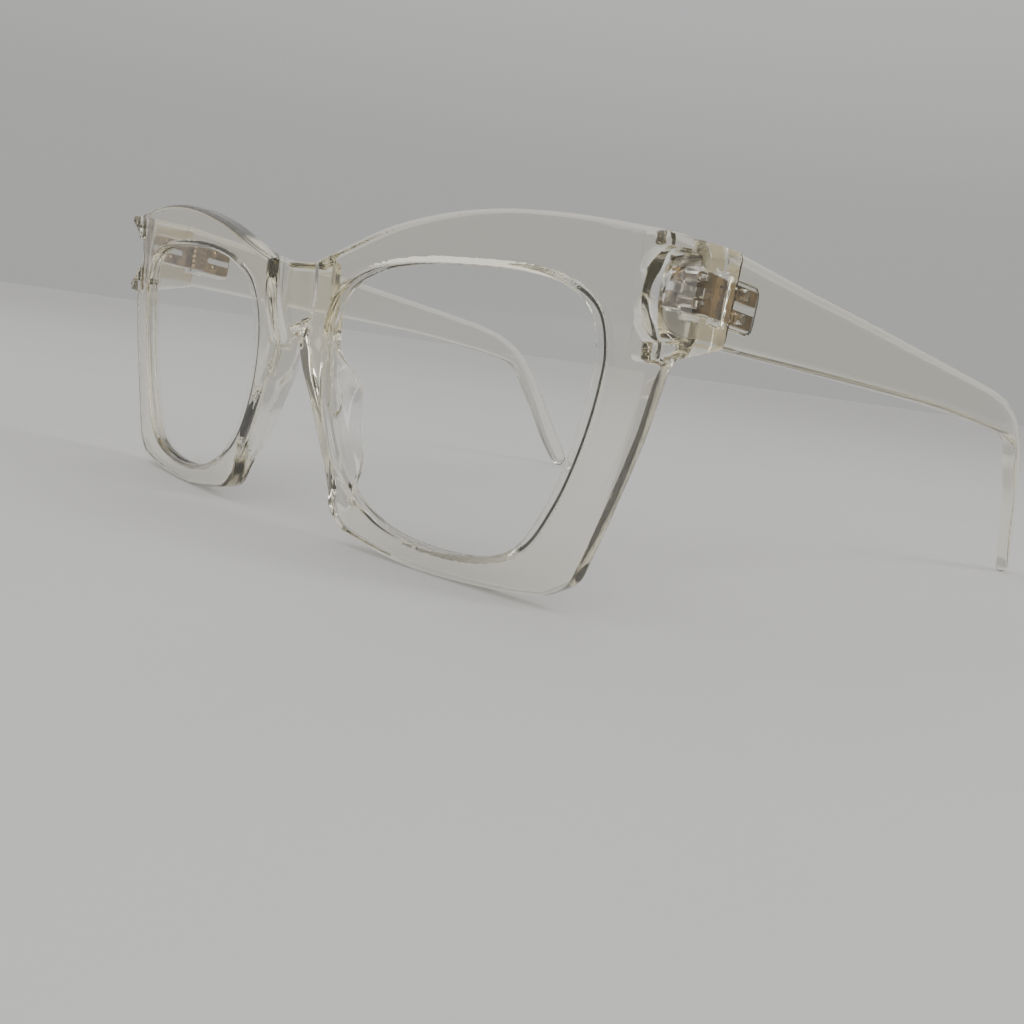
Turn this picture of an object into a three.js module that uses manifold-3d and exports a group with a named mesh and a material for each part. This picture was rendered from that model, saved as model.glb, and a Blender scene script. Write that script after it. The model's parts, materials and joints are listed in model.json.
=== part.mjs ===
// Clear plastic eyeglasses: a chunky, slightly upswept square front with moulded nose pads, two clear
// lenses, and two temples that fold on small five-knuckle metal hinges riveted to the inner faces.
//
// Millimetres. While it is modelled, the front stands upright: it faces -Y, +Z is up, and +X is the
// wearer's left. X is 0 at the middle of the bridge, Y is 0 at its front, and Z is 0 at the lower rims.
// At the end the glasses are set down on the lower rims and the temple tips, centred over the origin.
import * as THREE from 'three';
import { mergeVertices } from 'three/addons/utils/BufferGeometryUtils.js';
import Module from 'manifold-3d';

// ---- Driving dimensions -------------------------------------------------------------------------------

const FRONT_RADIUS = 321;        // horizontal curve of the front
const FRONT_THICKNESS = 3.5;     // rim, front to back
const FRONT_REACH = 74;          // half width of the stock the front is cut from
const FRONT_STEP = 3.5;          // width of one facet of the curved stock

const BRIDGE_RECESS = 2.5;       // how far the bridge's front face lies behind the rims
const BRIDGE_BACK = 6.4;         // back of the bridge
const PAD_BACK = 9.2;            // back edge of the nose pads
const PAD_FLARE = 3.4;           // how far a pad's back edge stands further out than its front edge
const PAD_THICKNESS = 2.6;

const LENS_THICKNESS = 1.4;
const LENS_BEVEL = 1.0;          // how far the lens reaches into the rim
const GROOVE_CLEARANCE = 0.3;

const END_X = 70.1;              // outer front corner of the endpiece
const END_BACK_X = 69.8;         // outer face of the endpiece at the joint
const SCOOP_RADIUS = 6.1;        // round recess in the front of the endpiece
const SCOOP_X = 70.9;
const SCOOP_HEIGHT = 41.7;
const SCOOP_INNER_Y = 9.9;       // depth of the recess's sloping floor at its inner side
const SCOOP_OUTER_Y = 12.1;      // and at the outer face
const POINTS_X = 68.6;           // the front's thin points above and below the recess are cut off here
const POINTS_REACH = 7.3;        // over this height above and below the middle of the recess
const BLOCK_INNER = 64.9;        // inner wall of the endpiece's thick part, behind the rim

const HINGE = new THREE.Vector3(64.3, 19.5, 42.2);
const TEMPLE_SLOPE = THREE.MathUtils.degToRad(7);
const JOINT_GAP = 0.3;           // between the endpiece and the temple

const TEMPLE_THICKNESS = 4.2;    // at the hinge
const TIP_THICKNESS = 2.6;       // at the end of the ear piece
const TEMPLE_LENGTH = 131.2;     // along the temple, hinge axis to the furthest point of the tip
const TAPER_START = 40;          // where the temple starts to get thinner
const TEMPLE_SPLAY = 0.02;       // outward drift per length
const EAR_START = 92;            // where the ear piece starts to curve inwards, from the hinge axis
const EAR_INSET = 4.8;           // inward curve at the tip

const KNUCKLES = 5;
const KNUCKLE_RADIUS = 1.7;
const KNUCKLE_GAP = 0.1;
const HINGE_HEIGHT = 5.2;
const KNUCKLE_CLEARANCE = 0.4;   // round hollow in the plastic about the knuckles
const LEAF_FACE = 0.6;           // inner faces of the leaves, measured outwards from the hinge axis
const LEAF_THICKNESS = 1.3;
const LEAF_GAP = 0.3;            // between a leaf and its pocket
const FRONT_LEAF_LENGTH = 7.6;
const TEMPLE_LEAF_LENGTH = 7.7;
const PRONG_SLOT = 1.1;          // slot between the two prongs of a leaf
const PRONG_SLOT_START = 2.6;    // from the hinge axis
const LEAF_START = 1.2;          // start of a leaf's flat plate, from the hinge axis
const KNUCKLE_ARM = 1.7;         // length of the arm that joins a knuckle to its plate
const FRONT_RIVET = 5.6;         // rivets' distance from the hinge axis
const TEMPLE_RIVET = 4.0;
const RIVET_RADIUS = 0.65;
const RIVET_HEAD_RADIUS = 0.95;
const RIVET_HEAD_HEIGHT = 0.35;
const RIVET_DEPTH = 2.1;         // from the leaf's outer face into the plastic
const SCREW_RADIUS = 0.65;
const SCREW_HEAD_RADIUS = 1.15;
const SCREW_HEAD_HEIGHT = 0.5;
const SCREW_SLOT = 0.35;
const FIT_GAP = 0.1;             // clearance of the screw in the knuckles and of the rivets in the leaves

const ROUND_STEPS = 24;          // sides of a full circle
const SPAN_STEPS = 4;            // steps between two points of an outline

// ---- Outlines -----------------------------------------------------------------------------------------

// The lens opening of the wearer's left eye, seen from the front.
const OPENING = [
  [10.0, 28.5], [10.9, 34.2], [13.6, 38.5], [19, 41.3], [27, 42.9], [38, 43.4], [49, 43.0], [55, 41.6],
  [58.4, 39.0], [59.8, 34.5], [59.6, 29.9], [58.1, 22.1], [55.2, 13.7], [51.2, 7.2], [46.1, 4.7],
  [35.2, 3.6], [24.5, 5.3], [16.1, 10.7], [11.3, 20.0],
];

// Left half of the front, from the top of the bridge round the outside to the top of the nose arch.
const BROW = [
  [5.5, 42.2], [8.0, 42.9], [13.7, 44.9], [23.3, 48.1], [34.7, 50.3], [45, 51.0], [55.5, 50.6], [66, 49.5],
];
const END = [[68.3, 49.2], [69.2, 48.6], [69.8, 47.7], [END_X, 46.6], [END_X, 36.6], [69.7, 35.5]];
const END_TOP = 49.3;
const SIDE_TOP = [68.3, 33.0];
const SIDE = [[69.2, 34.6], SIDE_TOP, [66.3, 24.2], [63.2, 13.7], [61.1, 7.4]];
const CORNER = [[61.1, 7.4], [59.7, 4.0], [56.2, 1.6]];
const CHIN = [
  [56.2, 1.6], [50, 0.7], [41, 0.1], [31.6, 0.05], [22.8, 1.1], [16.9, 2.5], [14.2, 5.0], [13.6, 7.8],
];
const NOSE_SIDE = [
  [13.6, 7.8], [11.7, 12.1], [7.3, 20.9], [4.8, 25.3], [3.5, 28.6], [2.6, 31.2], [0, 32.4],
];

// Front edge of the recess over the bridge, from its top down to the nose arch.
const RECESS_SIDE = [[6.4, 46], [6.4, 42.2], [6.6, 38.5], [6.1, 34.7], [4.9, 31.6], [3.4, 28.9]];

// Height of a nose pad's sections, and the share of the full reach to the back there.
const PAD_SECTIONS = [
  [4.6, 0], [6, 0.15], [8, 0.35], [11, 0.6], [15, 0.84], [19, 0.97], [22.5, 1], [25.5, 0.9],
  [28.4, 0.62], [31, 0.25],
];
const PAD_FOOT = 8;              // height where a pad starts to run out into the lower rim
const PAD_FOOT_SHIFT = 1.2;
const PAD_ROOT = 2.6;            // where a pad starts, inside the front
const PAD_SET_IN = 0.12;         // a pad's nose side, behind the rim's nose side
const BRIDGE_ROOT = 3.1;         // where the bridge's back starts, inside the front

// The temple seen from the side: along it from the hinge axis, and up.
const TEMPLE_TOP = [
  [16, 5.5], [38, 4.8], [60, 3.9], [80, 3.1], [90, 2.5], [98.3, 1.2], [106, -1.8], [112.6, -7.0],
  [119.2, -14.6], [125.7, -22.6], [TEMPLE_LENGTH - 0.8, -28.6],
];
const TEMPLE_TIP = [[TEMPLE_LENGTH, -30.4], [TEMPLE_LENGTH - 1.1, -32.2], [TEMPLE_LENGTH - 3.0, -32.0]];
const TEMPLE_BOTTOM = [
  [121.6, -25.4], [115.4, -17.4], [109.6, -10.8], [106.6, -7.6], [102.8, -5.6], [94, -4.6], [80, -4.2],
  [66, -4.1], [43, -4.7], [19, -5.5],
];
const TEMPLE_HALF_HEIGHT = 6.2;  // at the joint

// ---- Working with solids ------------------------------------------------------------------------------

const wasm = await Module();
wasm.setup();

// Merges a geometry's shared corners, so that only positions and an index are left.
function welded(geometry) {
  const bare = geometry.clone();
  bare.deleteAttribute('normal');
  bare.deleteAttribute('uv');
  return mergeVertices(bare, 1e-5);
}

function toSolid(geometry) {
  const merged = welded(geometry);
  return new wasm.Manifold(new wasm.Mesh({
    numProp: 3,
    vertProperties: new Float32Array(merged.attributes.position.array),
    triVerts: new Uint32Array(merged.index.array),
  }));
}

function toGeometry(solid) {
  const mesh = solid.getMesh();
  const geometry = new THREE.BufferGeometry();
  geometry.setAttribute('position', new THREE.BufferAttribute(new Float32Array(mesh.vertProperties), 3));
  geometry.setIndex(new THREE.BufferAttribute(new Uint32Array(mesh.triVerts), 1));
  return geometry;
}

// The same shape for the other side of the face.
function mirrored(geometry) {
  const copy = welded(geometry).scale(-1, 1, 1);
  const index = copy.index.array;
  for (let i = 0; i < index.length; i += 3) {
    const first = index[i];
    index[i] = index[i + 1];
    index[i + 1] = first;
  }
  return copy;
}

const bothSides = (geometry) => toSolid(geometry).add(toSolid(mirrored(geometry)));

// ---- Curves and prisms --------------------------------------------------------------------------------

function smooth(points, closed = false) {
  const vectors = points.map(([x, y]) => new THREE.Vector3(x, y, 0));
  const curve = new THREE.CatmullRomCurve3(vectors, closed, 'centripetal');
  const spans = closed ? points.length : points.length - 1;
  const dense = curve.getPoints(spans * SPAN_STEPS);
  if (closed) {
    dense.pop();
  }
  return dense.map((point) => new THREE.Vector2(point.x, point.y));
}

// Moves a closed outline outwards by a constant distance.
function grown(outline, distance) {
  const sign = THREE.ShapeUtils.isClockWise(outline) ? -1 : 1;
  return outline.map((point, i) => {
    const before = outline[(i + outline.length - 1) % outline.length];
    const after = outline[(i + 1) % outline.length];
    const along = after.clone().sub(before).normalize();
    return new THREE.Vector2(point.x + sign * along.y * distance, point.y - sign * along.x * distance);
  });
}

const asVectors = (points) => points.map(([x, y]) => new THREE.Vector2(x, y));

function prism(outline, from, to) {
  const options = { depth: to - from, bevelEnabled: false };
  return new THREE.ExtrudeGeometry(new THREE.Shape(outline), options).translate(0, 0, from);
}

// An outline drawn in X and Z, as deep as from..to along Y.
function prismAlongY(outline, from, to) {
  return prism(outline, -to, -from).rotateX(Math.PI / 2);
}

// An outline drawn in Y and Z, as wide as from..to along X.
function prismAlongX(outline, from, to) {
  const turn = new THREE.Matrix4().makeBasis(
    new THREE.Vector3(0, 1, 0), new THREE.Vector3(0, 0, 1), new THREE.Vector3(1, 0, 0));
  return prism(outline, from, to).applyMatrix4(turn);
}

function box(lowX, highX, lowY, highY, lowZ, highZ) {
  const geometry = new THREE.BoxGeometry(highX - lowX, highY - lowY, highZ - lowZ);
  return geometry.translate((lowX + highX) / 2, (lowY + highY) / 2, (lowZ + highZ) / 2);
}

function cylinderAlongZ(radius, lowZ, highZ) {
  const geometry = new THREE.CylinderGeometry(radius, radius, highZ - lowZ, ROUND_STEPS);
  return geometry.rotateX(Math.PI / 2).translate(0, 0, (lowZ + highZ) / 2);
}

// ---- Front frame --------------------------------------------------------------------------------------

const frontSurface = (x) => FRONT_RADIUS - Math.sqrt(FRONT_RADIUS ** 2 - x ** 2);

// A curved sheet that follows the front, between two depths behind its front surface.
function curvedSheet(from, to, lowX, highX) {
  const count = Math.ceil((highX - lowX) / FRONT_STEP);
  const xs = Array.from({ length: count + 1 }, (_, i) => lowX + (highX - lowX) * i / count);
  const front = xs.map((x) => new THREE.Vector2(x, frontSurface(x) + from));
  const back = xs.map((x) => new THREE.Vector2(x, frontSurface(x) + to)).reverse();
  return prism([...front, ...back], -5, 60);
}

function frontOutline() {
  const half = [
    ...smooth(BROW),
    ...asVectors(END),
    ...smooth(SIDE),
    ...smooth(CORNER).slice(1),
    ...smooth(CHIN).slice(1),
    ...smooth(NOSE_SIDE).slice(1),
  ];
  const other = half.slice(0, -1).reverse().map((point) => new THREE.Vector2(-point.x, point.y));
  return [...half, ...other];
}

const opening = smooth(OPENING, true);

// Turns a point given along and above the temple into the front's Y and Z.
function fromTemple(along, up) {
  const sin = Math.sin(TEMPLE_SLOPE);
  const cos = Math.cos(TEMPLE_SLOPE);
  return new THREE.Vector2(HINGE.y + along * cos + up * sin, HINGE.z - along * sin + up * cos);
}

// The block behind the endpiece that carries the hinge and meets the temple.
function endpieceBlock() {
  const plan = asVectors([
    [BLOCK_INNER - 2, frontSurface(BLOCK_INNER) + 1], [END_X, frontSurface(END_X) + 1], [END_X, 10.6],
    [END_BACK_X, 24], [BLOCK_INNER, 24], [BLOCK_INNER, 11.6],
    [BLOCK_INNER - 2, frontSurface(BLOCK_INNER) + FRONT_THICKNESS - 0.8],
  ]);
  const jointTop = fromTemple(-JOINT_GAP / 2, TEMPLE_HALF_HEIGHT);
  const jointBottom = fromTemple(-JOINT_GAP / 2, -TEMPLE_HALF_HEIGHT);
  const profile = [
    ...asVectors([[4, END_TOP], [4, 33.8], [9.5, 34.0], [11.5, 34.8], [14, 35.4]]),
    jointBottom,
    jointTop,
  ];
  const block = toSolid(prism(plan, 30, 55)).intersect(toSolid(prismAlongX(profile, 50, 75)));
  const outline = asVectors([
    [50, 50.6], ...BROW.slice(-2), ...END, [SIDE_TOP[0] - 0.3, SIDE_TOP[1]], [50, 30],
  ]);
  return toGeometry(block.intersect(toSolid(prismAlongY(outline, 0, 30))));
}

// The round recess in the front of the endpiece, with a floor that slopes back towards the outside.
function scoop() {
  const length = 2 * SCOOP_OUTER_Y;
  const round = new THREE.CylinderGeometry(SCOOP_RADIUS, SCOOP_RADIUS, length, 2 * ROUND_STEPS);
  round.translate(SCOOP_X, length / 2 - 3, SCOOP_HEIGHT);
  const innerX = SCOOP_X - SCOOP_RADIUS;
  const slope = (SCOOP_OUTER_Y - SCOOP_INNER_Y) / (END_X - innerX);
  const floorAt = (x) => SCOOP_INNER_Y + slope * (x - innerX);
  const [from, to] = [innerX - 2, SCOOP_X + SCOOP_RADIUS + 2];
  const ahead = prism(asVectors([[from, -3], [to, -3], [to, floorAt(to)], [from, floorAt(from)]]), 30, 55);
  const heights = [SCOOP_HEIGHT - POINTS_REACH, SCOOP_HEIGHT + POINTS_REACH];
  const points = toSolid(box(POINTS_X, to, -3, length, ...heights));
  return toGeometry(toSolid(round).add(points).intersect(toSolid(ahead)));
}

// A moulded nose pad: sections from its foot to its top, each flaring backwards and outwards.
function nosePad() {
  const edge = smooth(NOSE_SIDE);
  const edgeAt = (z) => {
    const i = edge.findIndex((point) => point.y >= z);
    const t = (z - edge[i - 1].y) / (edge[i].y - edge[i - 1].y);
    return THREE.MathUtils.lerp(edge[i - 1].x, edge[i].x, t);
  };
  const rings = PAD_SECTIONS.map(([z, share]) => {
    const back = FRONT_THICKNESS + 0.2 + (PAD_BACK - FRONT_THICKNESS - 0.2) * share;
    const flare = PAD_FLARE * share;
    const x = edgeAt(Math.max(z, PAD_FOOT)) + (z < PAD_FOOT ? PAD_FOOT_SHIFT : PAD_SET_IN);
    return [
      [x, PAD_ROOT], [x + PAD_THICKNESS + 0.6, PAD_ROOT], [x + PAD_THICKNESS + flare, back - 0.9],
      [x + PAD_THICKNESS * 0.75 + flare, back], [x + PAD_THICKNESS * 0.3 + flare, back],
      [x + flare * 0.75, back - 0.9],
    ].map(([px, py]) => new THREE.Vector3(px, py, z));
  });
  return loft(rings);
}

// A closed skin over rings of equal length, counter-clockwise seen from the last ring's end.
function loft(rings) {
  const size = rings[0].length;
  const positions = rings.flat().flatMap((point) => [point.x, point.y, point.z]);
  const index = [];
  for (let r = 0; r + 1 < rings.length; r += 1) {
    for (let i = 0; i < size; i += 1) {
      const a = r * size + i;
      const b = r * size + (i + 1) % size;
      index.push(a, b, b + size, a, b + size, a + size);
    }
  }
  const last = (rings.length - 1) * size;
  for (let i = 1; i + 1 < size; i += 1) {
    index.push(0, i + 1, i, last, last + i, last + i + 1);
  }
  const geometry = new THREE.BufferGeometry();
  geometry.setAttribute('position', new THREE.BufferAttribute(new Float32Array(positions), 3));
  geometry.setIndex(index);
  return geometry;
}

function bridgeBack() {
  const left = [[0, 32.6], [3.6, 31.5], [8.5, 35.5], [7.5, 42.3]];
  const right = left.slice(1).reverse().map(([x, z]) => [-x, z]);
  return toSolid(prismAlongY(asVectors([...left, ...right]), BRIDGE_ROOT, BRIDGE_BACK));
}

// Hollows for the hinge, about the hinge axis: the knuckles' round hollow and the leaf's slot, which is
// open towards the inside.
function hingeHollow(leafFrom, leafTo) {
  const reach = HINGE_HEIGHT / 2 + SCREW_HEAD_HEIGHT + LEAF_GAP;
  const knuckles = toSolid(cylinderAlongZ(KNUCKLE_RADIUS + KNUCKLE_CLEARANCE, -reach, reach));
  const slotTop = HINGE_HEIGHT / 2 + LEAF_GAP;
  const open = BLOCK_INNER - HINGE.x - 3;
  const bottom = LEAF_FACE + LEAF_THICKNESS + LEAF_GAP;
  return knuckles.add(toSolid(box(open, bottom, leafFrom, leafTo, -slotTop, slotTop)));
}

function rivetHoles(along) {
  return prongHeights().map((z) => {
    const radius = RIVET_RADIUS + LEAF_GAP;
    const depth = RIVET_DEPTH + LEAF_GAP;
    const hole = new THREE.CylinderGeometry(radius, radius, depth + 1, ROUND_STEPS).rotateZ(Math.PI / 2);
    return toSolid(hole.translate(LEAF_FACE + LEAF_THICKNESS + (depth - 1) / 2, along, z));
  });
}

// Moves a geometry drawn about the left hinge axis to its place on the front.
function atHinge(geometry) {
  return geometry.rotateX(-TEMPLE_SLOPE).translate(HINGE.x, HINGE.y, HINGE.z);
}

function frontFrame() {
  let solid = toSolid(prismAlongY(frontOutline(), -2, 16));
  solid = solid.intersect(toSolid(curvedSheet(0, FRONT_THICKNESS, -FRONT_REACH, FRONT_REACH)));
  solid = solid.add(bridgeBack()).add(bothSides(endpieceBlock())).add(bothSides(nosePad()));

  const recess = [...smooth(RECESS_SIDE)];
  const recessLeft = recess.map((point) => new THREE.Vector2(-point.x, point.y)).reverse();
  solid = solid.subtract(toSolid(prismAlongY([...recess, ...recessLeft], -3, BRIDGE_RECESS)));

  solid = solid.subtract(bothSides(scoop()));

  const cutter = prismAlongY(opening, -5, 30);
  solid = solid.subtract(bothSides(cutter));
  const groove = prismAlongY(grown(opening, LENS_BEVEL + GROOVE_CLEARANCE), -2, 16);
  const half = LENS_THICKNESS / 2 + GROOVE_CLEARANCE;
  const middle = FRONT_THICKNESS / 2;
  const grooveSheet = curvedSheet(middle - half, middle + half, -FRONT_REACH, FRONT_REACH);
  solid = solid.subtract(bothSides(groove).intersect(toSolid(grooveSheet)));

  const hollows = [hingeHollow(-FRONT_LEAF_LENGTH - LEAF_GAP, 5), ...rivetHoles(-FRONT_RIVET)];
  for (const hollow of hollows) {
    solid = solid.subtract(bothSides(atHinge(toGeometry(hollow))));
  }
  return toGeometry(solid);
}

function lens() {
  const half = LENS_THICKNESS / 2;
  const sheet = curvedSheet(FRONT_THICKNESS / 2 - half, FRONT_THICKNESS / 2 + half, 0, FRONT_REACH);
  return toGeometry(toSolid(prismAlongY(grown(opening, LENS_BEVEL), -2, 16)).intersect(toSolid(sheet)));
}

// ---- Temple, drawn about the left hinge axis ----------------------------------------------------------

function temple() {
  const start = JOINT_GAP / 2;
  const outline = [
    new THREE.Vector2(start, TEMPLE_HALF_HEIGHT),
    ...smooth([...TEMPLE_TOP, ...TEMPLE_TIP, ...TEMPLE_BOTTOM]),
    new THREE.Vector2(start, -TEMPLE_HALF_HEIGHT),
  ].reverse();
  const bar = prismAlongX(outline, 0, 1);
  const position = bar.attributes.position;
  const outerAtHinge = END_BACK_X - HINGE.x;
  for (let i = 0; i < position.count; i += 1) {
    const along = position.getY(i);
    const past = Math.max(0, along - EAR_START) / (TEMPLE_LENGTH - EAR_START);
    const outer = outerAtHinge + TEMPLE_SPLAY * along - EAR_INSET * past ** 2;
    const taper = THREE.MathUtils.smoothstep(along, TAPER_START, TEMPLE_LENGTH);
    const thickness = THREE.MathUtils.lerp(TEMPLE_THICKNESS, TIP_THICKNESS, taper);
    position.setX(i, outer - thickness * (1 - position.getX(i)));
  }
  let solid = toSolid(bar).subtract(hingeHollow(-5, TEMPLE_LEAF_LENGTH + LEAF_GAP));
  for (const hole of rivetHoles(TEMPLE_RIVET)) {
    solid = solid.subtract(hole);
  }
  return toGeometry(solid);
}

// ---- Hinge, drawn about the left hinge axis -----------------------------------------------------------

// Middle heights of a leaf's two prongs.
function prongHeights() {
  const middle = (HINGE_HEIGHT + PRONG_SLOT) / 4;
  return [-middle, middle];
}

// One leaf: its knuckles, every second one of the five, and a forked plate. Direction is -1 for the
// front's leaf, which runs forwards, and 1 for the temple's.
function hingeLeaf(direction, length, rivetAlong) {
  const pitch = HINGE_HEIGHT / KNUCKLES;
  const half = HINGE_HEIGHT / 2;
  const outerX = LEAF_FACE + LEAF_THICKNESS;
  const stretch = (from, to) => (direction > 0 ? [from, to] : [-to, -from]);
  const slot = box(0, outerX + 1, ...stretch(PRONG_SLOT_START, length + 1), -PRONG_SLOT / 2, PRONG_SLOT / 2);
  const plate = box(LEAF_FACE, outerX, ...stretch(LEAF_START, length), -half, half);
  let solid = toSolid(plate).subtract(toSolid(slot));
  const clearance = KNUCKLE_RADIUS + KNUCKLE_GAP;
  for (let i = 0; i < KNUCKLES; i += 1) {
    const low = -half + i * pitch;
    const high = low + pitch;
    const own = (i % 2 === 0) === (direction < 0);
    if (own) {
      const lowCut = i === 0 ? low : low + KNUCKLE_GAP / 2;
      const highCut = i === KNUCKLES - 1 ? high : high - KNUCKLE_GAP / 2;
      const arm = box(0, outerX, ...stretch(0, KNUCKLE_ARM), lowCut, highCut);
      solid = solid.add(toSolid(cylinderAlongZ(KNUCKLE_RADIUS, lowCut, highCut))).add(toSolid(arm));
    } else {
      const room = cylinderAlongZ(clearance, low - KNUCKLE_GAP / 2, high + KNUCKLE_GAP / 2);
      solid = solid.subtract(toSolid(room));
    }
  }
  solid = solid.subtract(toSolid(cylinderAlongZ(SCREW_RADIUS + FIT_GAP, -half - 1, half + 1)));
  for (const z of prongHeights()) {
    const radius = RIVET_RADIUS + FIT_GAP;
    const hole = new THREE.CylinderGeometry(radius, radius, 3 * outerX, ROUND_STEPS).rotateZ(Math.PI / 2);
    solid = solid.subtract(toSolid(hole.translate(LEAF_FACE, direction * rivetAlong, z)));
  }
  return toGeometry(solid);
}

function hingeScrew() {
  const half = HINGE_HEIGHT / 2;
  const head = cylinderAlongZ(SCREW_HEAD_RADIUS, half + 0.02, half + SCREW_HEAD_HEIGHT);
  const shank = cylinderAlongZ(SCREW_RADIUS, -half - 0.2, half + 0.1);
  const slot = box(-2, 2, -SCREW_SLOT / 2, SCREW_SLOT / 2, half + SCREW_HEAD_HEIGHT / 2, half + 2);
  return toGeometry(toSolid(head).add(toSolid(shank)).subtract(toSolid(slot)));
}

// A rivet through one prong: round head on the inside of the leaf, shank into the plastic.
function rivet(along, z) {
  const profile = asVectors([
    [0, 0], [RIVET_RADIUS, 0], [RIVET_RADIUS, RIVET_DEPTH + LEAF_THICKNESS],
    [RIVET_HEAD_RADIUS, RIVET_DEPTH + LEAF_THICKNESS + 0.02],
    [RIVET_HEAD_RADIUS * 0.7, RIVET_DEPTH + LEAF_THICKNESS + RIVET_HEAD_HEIGHT],
    [0, RIVET_DEPTH + LEAF_THICKNESS + RIVET_HEAD_HEIGHT],
  ]);
  const geometry = new THREE.LatheGeometry(profile, ROUND_STEPS);
  geometry.rotateZ(Math.PI / 2);
  return geometry.translate(LEAF_FACE + LEAF_THICKNESS + RIVET_DEPTH, along, z);
}

// ---- Assembly -----------------------------------------------------------------------------------------

const clearPlastic = new THREE.MeshStandardMaterial({
  color: 0xe9e4cf, roughness: 0.06, metalness: 0, transparent: true, opacity: 0.45,
});
const lensPlastic = new THREE.MeshStandardMaterial({
  color: 0xf2f5f3, roughness: 0.03, metalness: 0, transparent: true, opacity: 0.25,
});
const hingeMetal = new THREE.MeshStandardMaterial({ color: 0xa98f62, roughness: 0.3, metalness: 1 });

function named(name, geometry, material) {
  const mesh = new THREE.Mesh(geometry, material);
  mesh.name = name;
  return mesh;
}

function sideParts(side) {
  const group = new THREE.Group();
  const place = (geometry) => (side === 'left' ? geometry : mirrored(geometry));
  const add = (name, geometry, material) => group.add(named(`${name}_${side}`, place(geometry), material));
  add('temple', temple(), clearPlastic);
  add('front_hinge_leaf', hingeLeaf(-1, FRONT_LEAF_LENGTH, FRONT_RIVET), hingeMetal);
  add('temple_hinge_leaf', hingeLeaf(1, TEMPLE_LEAF_LENGTH, TEMPLE_RIVET), hingeMetal);
  add('hinge_screw', hingeScrew(), hingeMetal);
  for (const [level, z] of [['lower', prongHeights()[0]], ['upper', prongHeights()[1]]]) {
    add(`front_rivet_${level}`, rivet(-FRONT_RIVET, z), hingeMetal);
    add(`temple_rivet_${level}`, rivet(TEMPLE_RIVET, z), hingeMetal);
  }
  group.rotation.x = -TEMPLE_SLOPE;
  group.position.set(side === 'left' ? HINGE.x : -HINGE.x, HINGE.y, HINGE.z);
  return group;
}

// The angle that lays both the lower rims and the temple tips on the ground.
function standingTilt(group) {
  let low = 0;
  let high = THREE.MathUtils.degToRad(10);
  const heightAt = (name, tilt) => {
    group.rotation.x = tilt;
    group.updateMatrixWorld(true);
    return new THREE.Box3().setFromObject(group.getObjectByName(name), true).min.z;
  };
  for (let i = 0; i < 40; i += 1) {
    const middle = (low + high) / 2;
    if (heightAt('temple_left', middle) < heightAt('front_frame', middle)) {
      low = middle;
    } else {
      high = middle;
    }
  }
  return (low + high) / 2;
}

const glasses = new THREE.Group();
glasses.add(named('front_frame', frontFrame(), clearPlastic));
glasses.add(named('lens_left', lens(), lensPlastic));
glasses.add(named('lens_right', mirrored(lens()), lensPlastic));
glasses.add(sideParts('left'), sideParts('right'));
glasses.rotation.x = standingTilt(glasses);

const eyeglasses = new THREE.Group();
eyeglasses.add(glasses);
eyeglasses.updateMatrixWorld(true);
const bounds = new THREE.Box3().setFromObject(eyeglasses, true);
glasses.position.set(0, -(bounds.min.y + bounds.max.y) / 2, -bounds.min.z);

export default eyeglasses;
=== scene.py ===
"""Clear plastic eyeglasses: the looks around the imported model.

Shapes are drawn in millimetres in the front's own upright axes, as in the model: the front faces -Y,
+Z is up, +X is the wearer's left. The hinge parts and the temples are drawn about the left hinge axis:
outwards, along the temple, and up. The plastic and metal surfaces are the zero surfaces of distance
fields, meshed on a grid and then moved onto the exact surface.
"""
import json
import math

import bpy
import numpy as np
from mathutils import Matrix, Vector


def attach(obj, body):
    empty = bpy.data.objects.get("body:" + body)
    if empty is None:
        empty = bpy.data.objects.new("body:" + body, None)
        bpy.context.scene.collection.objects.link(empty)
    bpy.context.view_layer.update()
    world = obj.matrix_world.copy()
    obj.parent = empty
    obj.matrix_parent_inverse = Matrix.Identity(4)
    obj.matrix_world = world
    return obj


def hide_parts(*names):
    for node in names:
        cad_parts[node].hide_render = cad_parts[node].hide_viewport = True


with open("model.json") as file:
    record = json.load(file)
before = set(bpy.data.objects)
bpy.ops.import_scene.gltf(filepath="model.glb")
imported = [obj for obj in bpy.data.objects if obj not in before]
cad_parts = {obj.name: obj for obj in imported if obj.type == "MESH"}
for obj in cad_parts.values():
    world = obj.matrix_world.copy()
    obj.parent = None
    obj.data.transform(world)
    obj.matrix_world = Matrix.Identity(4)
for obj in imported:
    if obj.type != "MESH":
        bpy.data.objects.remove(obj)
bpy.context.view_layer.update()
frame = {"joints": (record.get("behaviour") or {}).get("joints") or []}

# ---- Driving dimensions, mm ---------------------------------------------------------------------------

MM = 0.001
FRONT_RADIUS = 321.0
FRONT_THICKNESS = 3.5
FRONT_EDGE = 0.9            # rounding of the rims' front edges
BACK_EDGE = 0.7
OPENING_EDGE = 0.55
ROOT_FILLET = 1.6           # where the bridge and the nose pads grow out of the front

BRIDGE_RECESS = 2.5         # how far the bridge's front face lies behind the rims
RECESS_FILLET = 0.9
RECESS_EDGE = 0.5
BRIDGE_HALF_WIDTH = 8.0     # of the thick part behind the bridge
BRIDGE_SET_IN = 0.3         # which lies this far inside the front's outline
BRIDGE_ROOT = 2.0           # and reaches from here, inside the front,
BRIDGE_BACK = 6.4           # to here
BRIDGE_EDGE = 1.3

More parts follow.
